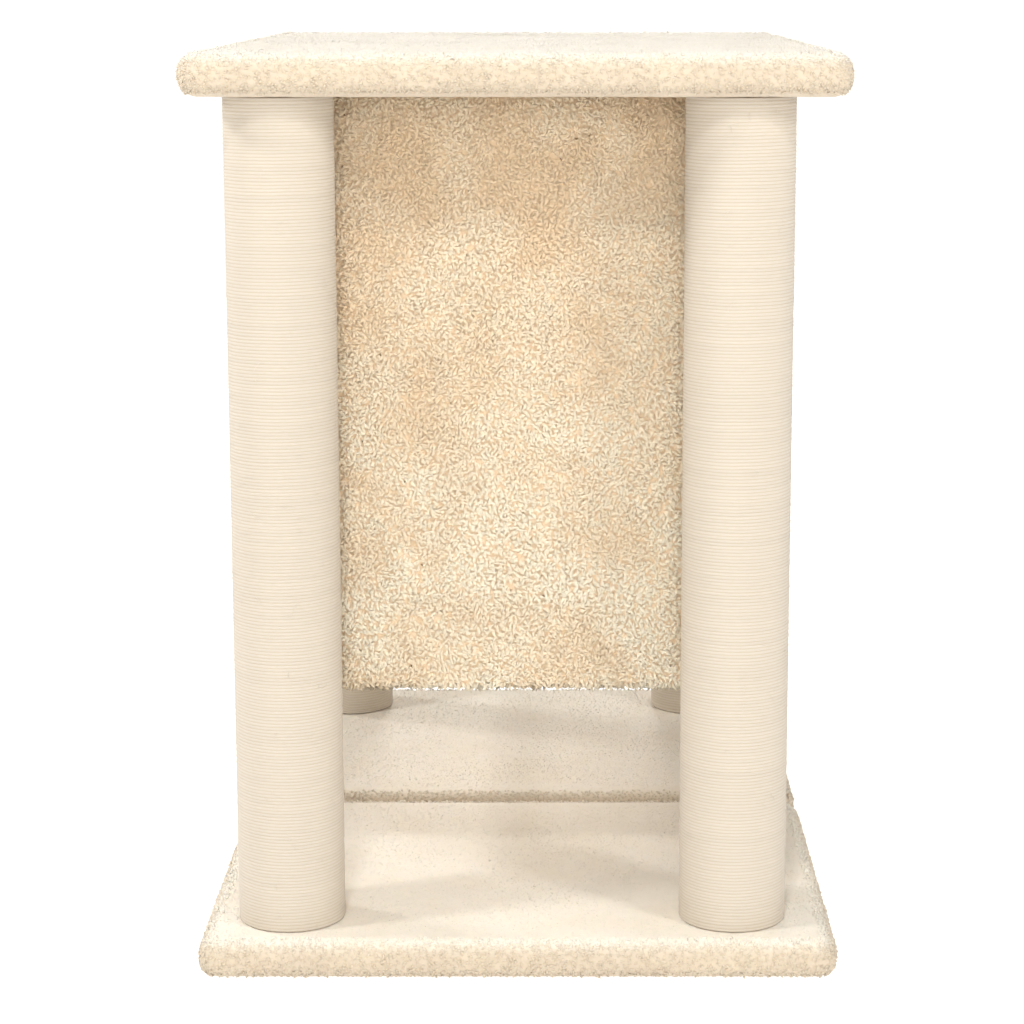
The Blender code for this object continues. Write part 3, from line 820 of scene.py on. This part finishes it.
def rope_rows(low, high, seed, rng):
    """Rows of points that climb one pitch a turn between these corners, joined on the side that looks
    at the cave. Also returns which rows run in a groove, and the turn that each belongs to."""
    axis, radius, height = (low + high) / 2, (high[X] - low[X]) / 2, high[Z] - low[Z]
    turns = round(height / ROPE_PITCH)
    rows = turns * ROPE_ROWS + 1
    row = np.arange(rows)
    groove, turn_of = row % ROPE_ROWS == 0, row // ROPE_ROWS
    stagger = rng.normal(0, ROPE_STAGGER, turns + 1)[turn_of]
    joint = math.copysign(math.pi / 2, -axis[Y])
    angle = joint + TAU * np.arange(POST_SEGMENTS) / POST_SEGMENTS
    climb = ROPE_PITCH * (np.arange(POST_SEGMENTS) / POST_SEGMENTS - 0.5)
    ends = np.minimum(np.minimum(row, rows - 1 - row) / (2 * ROPE_ROWS), 1)
    points = np.empty((rows, POST_SEGMENTS, 3))
    reach = column(radius + np.where(groove, -ROPE_DEPTH, stagger))
    points[..., Z] = low[Z] + column(height * row / (rows - 1)) + column(ends) * climb
    points[..., X] = axis[X] + reach * np.cos(angle)
    points[..., Y] = axis[Y] + reach * np.sin(angle)
    waver = smooth_noise(points.reshape(-1, 3), ROPE_WAVER_GRAIN, seed).reshape(rows, POST_SEGMENTS)
    points[..., Z] += column(ends) * ROPE_WAVER * waver
    return points, groove, turn_of


def winding(place, seed):
    """A post's cord, as a hollow sleeve of its turns, with a few stray fibres."""
    node = f"post_sisal_{place}"
    low, high = corners(node)
    axis, radius = (low + high) / 2, (high[X] - low[X]) / 2
    rng = np.random.default_rng(seed)
    points, groove, turn_of = rope_rows(low, high, seed, rng)
    index = np.arange(points[..., X].size).reshape(len(points), POST_SEGMENTS)
    inner = 1 - (ROPE_DEPTH + ROPE_WALL) / radius
    rims = [axis + (points[end] - axis) * (inner, inner, 1) for end in (0, -1)]
    index = np.concatenate((index, index.size + np.arange(2 * POST_SEGMENTS).reshape(2, -1)[::-1]))
    quads = closed_quads(index)
    points = np.concatenate((points.reshape(-1, 3), *rims))
    rim_values = np.zeros(2 * POST_SEGMENTS)
    turn_tints = rng.uniform(-1, 1, turn_of[-1] + 1)
    # Rows in a groove get the low end, which the cord's material paints as shade.
    pile = np.append(np.repeat(np.where(groove, 0.0, 1.0), POST_SEGMENTS), rim_values)
    tint = np.append(np.repeat(turn_tints[turn_of], POST_SEGMENTS), rim_values)
    piece = new_piece(f"post_winding_{place}", points, quads, [SISAL], [node],
                      pile=pile, tint=tint)
    start = np.tile(np.arange(POST_SEGMENTS), len(index))
    around = np.stack((start, start + 1, start + 1, start), -1) * TAU * radius / POST_SEGMENTS
    layer = piece.data.uv_layers.new(name="winding")
    layer.data.foreach_set("uv", np.stack((around, points[quads][..., Z]), -1).astype(np.float32).ravel())
    stray = rng.choice(len(quads), POST_STRAYS, replace=False)
    normals = unit((points - axis) * (1, 1, 0))
    grow(f"post_fibres_{place}", *roots_on(points, normals, quads[stray], seed), STRAY_FIBRE,
         SISAL, "sisal", seed + 1)


# ---------------------------------------------------------------- CAD nodes that stay

def finish_cad_nodes():
    """Gives each carried-over node the look of what it is made of."""
    cardboard, wood, steel = cardboard_material(), plug_wood_material(), steel_material()
    for name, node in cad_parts.items():
        if "_board" in name:
            look = CHIPBOARD
        elif "_tube_" in name:
            look = cardboard
        elif "_plug_" in name:
            look = wood
        else:
            look = steel
        node.data.materials.clear()
        node.data.materials.append(look)


# ---------------------------------------------------------------- studio

def studio_floor():
    """A plain pale floor, partly lit from within."""
    mesh = bpy.data.meshes.new("floor")
    reach = FLOOR_SIZE / 2
    square = [(-reach, -reach, 0), (reach, -reach, 0), (reach, reach, 0), (-reach, reach, 0)]
    mesh.from_pydata(square, [], [(0, 1, 2, 3)])
    floor = bpy.data.objects.new("floor", mesh)
    floor.location.z = cad_box[0].z - FLOOR_DROP
    bpy.context.scene.collection.objects.link(floor)
    material, _, _, shader = material_nodes("floor", 0.9)
    shader.inputs["Base Color"].default_value = (FLOOR_PAINT, FLOOR_PAINT, FLOOR_PAINT, 1)
    shader.inputs["Emission Color"].default_value = (1, 1, 1, 1)
    shader.inputs["Emission Strength"].default_value = FLOOR_GLOW
    mesh.materials.append(material)


def sky():
    """A warm white world that is brighter at the horizon than overhead."""
    world = bpy.data.worlds.new("studio")
    world.use_nodes = True
    nodes, links = world.node_tree.nodes, world.node_tree.links
    ray = nodes.new("ShaderNodeSeparateXYZ")
    links.new(nodes.new("ShaderNodeTexCoord").outputs["Generated"], ray.inputs["Vector"])
    level = ramp_node(nodes, links, ray.outputs["Z"], HORIZON_TOP, SKY_START, HORIZON_LIGHT, SKY_LIGHT)
    nodes["Background"].inputs["Color"].default_value = (*SKY_COLOUR, 1)
    links.new(level, nodes["Background"].inputs["Strength"])
    bpy.context.scene.world = world


def lamps():
    """Disc lamps that look at the middle of the tree. A lamp of level 1 lights as a white world does."""
    target = (cad_box[0] + cad_box[1]) / 2
    for name, lamp in LAMPS.items():
        left, up = math.radians(lamp.left), math.radians(lamp.up)
        toward = Vector((-math.sin(left) * math.cos(up), -math.cos(left) * math.cos(up), math.sin(up)))
        light = bpy.data.lights.new(name, "AREA")
        light.shape = "DISK"
        light.size = lamp.size
        light.energy = lamp.level * (math.pi * lamp.distance) ** 2
        holder = bpy.data.objects.new(name, light)
        holder.location = target + toward * lamp.distance
        holder.rotation_euler = toward.to_track_quat("Z", "Y").to_euler()
        bpy.context.scene.collection.objects.link(holder)


def camera():
    """The photo's angle: in front of the tree, above the middle and looking slightly down."""
    lens = bpy.data.cameras.new("camera")
    lens.lens = CAMERA_LENS
    lens.shift_x, lens.shift_y = CAMERA_SHIFT
    view = bpy.data.objects.new("camera", lens)
    view.location = (CAMERA_SIDE, cad_box[0].y - CAMERA_BACK, CAMERA_HEIGHT)
    view.rotation_euler = (math.radians(90 - CAMERA_PITCH), 0, 0)
    bpy.context.scene.collection.objects.link(view)
    bpy.context.scene.camera = view


plate_skin("top_plush")
for end, side in (("front", 1), ("rear", -1)):
    plate_skin(f"base_plush_{end}", side)
    seam_core(end, side)
lining()
cave()
for order, place in enumerate(POST_PLACES):
    winding(place, 300 + 10 * order)
finish_cad_nodes()
studio_floor()
sky()
lamps()
camera()
bpy.context.scene.view_settings.view_transform = "Standard"
